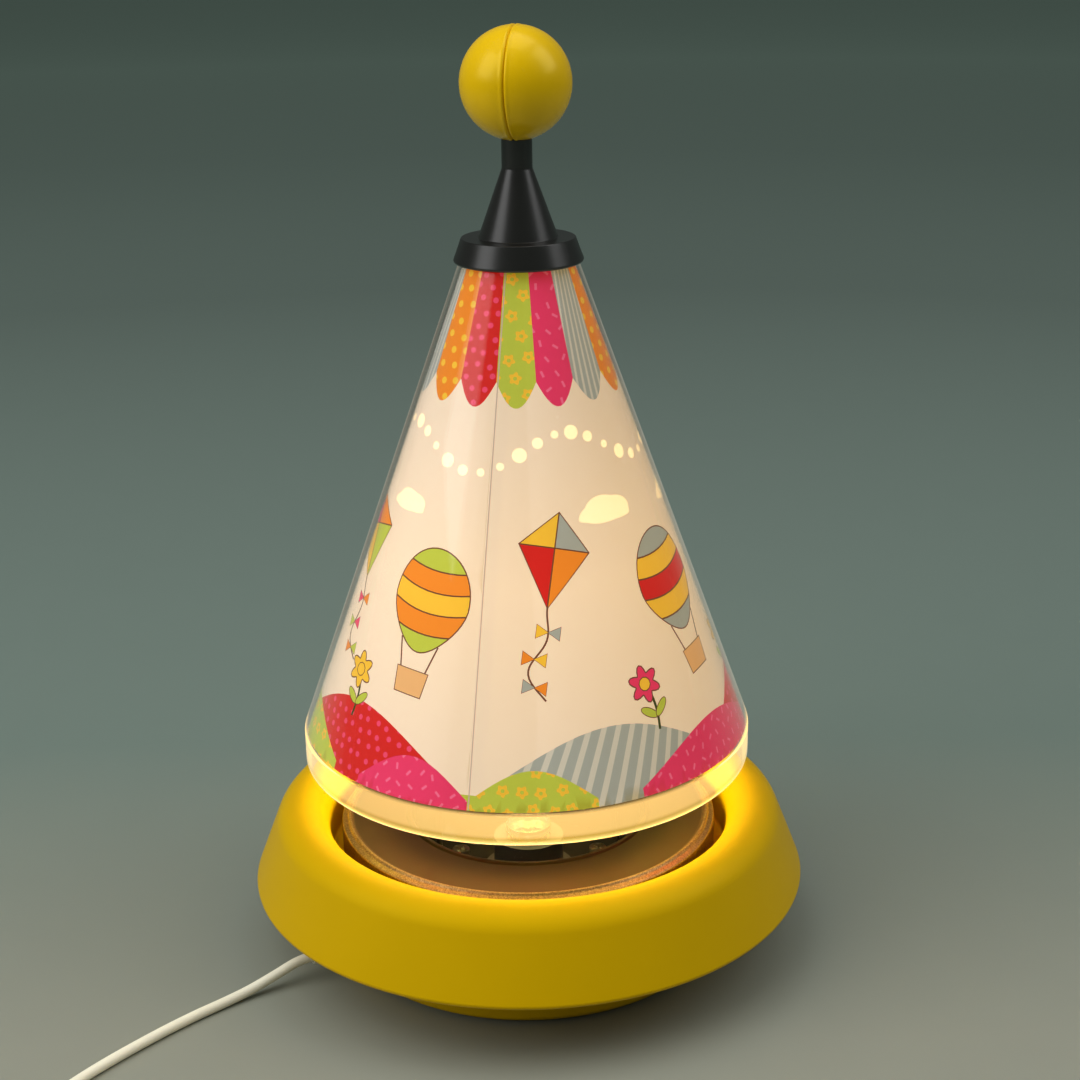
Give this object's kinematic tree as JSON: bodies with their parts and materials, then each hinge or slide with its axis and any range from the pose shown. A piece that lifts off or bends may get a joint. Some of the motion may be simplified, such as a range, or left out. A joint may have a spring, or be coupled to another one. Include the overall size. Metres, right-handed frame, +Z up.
{
  "type": "rotating motion lamp",
  "caption": "Heat-driven carousel lamp: conical clear shade with a printed film turning on a needle bearing over a bulb in a round skirted base, with flex, in-line switch and plug.",
  "frame": {"origin": "on the spin axis of the shade, at the table top under the rubber feet", "axes": "+Z up along the spin axis, -Y towards the viewer, +X to the viewer's right; the flex leaves the foot to the left and front, and lies with its switch, coil and plug in front"},
  "size_m": [0.2602, 0.3098, 0.3254],
  "materials": {
    "yellow_plastic": "satin moulded plastic, mustard yellow",
    "bronze_plate": "satin bronze with a fine sparkle",
    "dark_metal": "dark satin",
    "black_moulding": "satin",
    "black_plastic": "satin black",
    "steel": "plain",
    "brass": "plain",
    "aluminium": "plain sheet",
    "nickel": "nickel plated",
    "clear_plastic": "clear, glossy",
    "printed_film": "translucent, printed in several colours",
    "bulb_glass": "frosted",
    "stem_glass": "clear",
    "jewel": "polished",
    "black_glass": "opaque black",
    "tungsten": "wire",
    "flex_plastic": "soft ivory plastic",
    "lead_plastic": "coloured insulation",
    "ivory_plastic": "moulded ivory plastic",
    "white_plastic": "moulded",
    "rubber": "matt",
    "tie_plastic": "soft tie"
  },
  "bodies": {
    "base": {"base_shell": "yellow_plastic", "base_cover": "yellow_plastic", "rubber_feet": "rubber", "cover_screws": "steel", "heat_plate": "bronze_plate", "reflector_cup": "dark_metal", "cup_screws": "steel", "lamp_socket": "black_moulding", "socket_nut": "black_moulding", "socket_shell": "brass", "socket_contact": "brass", "terminal_screws": "steel", "needle_bow": "steel", "needle_holder": "brass", "bearing_needle": "steel", "flex_bush": "ivory_plastic", "flex_clamp": "ivory_plastic", "clamp_screws": "steel", "inner_leads": "lead_plastic", "flex_to_switch": "flex_plastic", "switch_base": "ivory_plastic", "switch_cover": "ivory_plastic", "switch_screw": "steel", "switch_contacts": "brass", "flex_to_coil": "flex_plastic", "flex_coil": "flex_plastic", "coil_tie": "tie_plastic", "flex_to_plug": "flex_plastic", "plug_body": "ivory_plastic", "plug_pins": "nickel"},
    "turbine": {"turbine_wheel": "aluminium", "wheel_hub": "black_moulding", "bearing_cup": "jewel"},
    "shade": {"shade_cone": "clear_plastic", "shade_film": "printed_film", "top_cap": "black_plastic", "ball_half_left": "yellow_plastic", "ball_half_right": "yellow_plastic"},
    "bulb": {"bulb_glass": "bulb_glass", "bulb_cap": "brass", "bulb_insulator": "black_glass", "bulb_contact": "steel", "bulb_stem": "stem_glass", "support_wires": "tungsten", "filament": "tungsten"},
    "rocker": {"switch_rocker": "white_plastic"}
  },
  "joints": [
    {"name": "spin", "type": "hinge", "parent": "base", "child": "turbine", "pos_m": [0, 0, 0.188], "axis": [0, 0, 1], "continuous": true},
    {"name": "shade_lift", "type": "slide", "parent": "turbine", "child": "shade", "axis": [0, 0, 1], "range_m": [0, 0.12]},
    {"name": "bulb_draw", "type": "slide", "parent": "base", "child": "bulb", "axis": [0, 0, 1], "range_m": [0, 0.022]},
    {"name": "rocker_press", "type": "hinge", "parent": "base", "child": "rocker", "pos_m": [-0.082, -0.155, 0.013], "axis": [0, 1, 0], "range_deg": [-16, 0]}
  ]
}
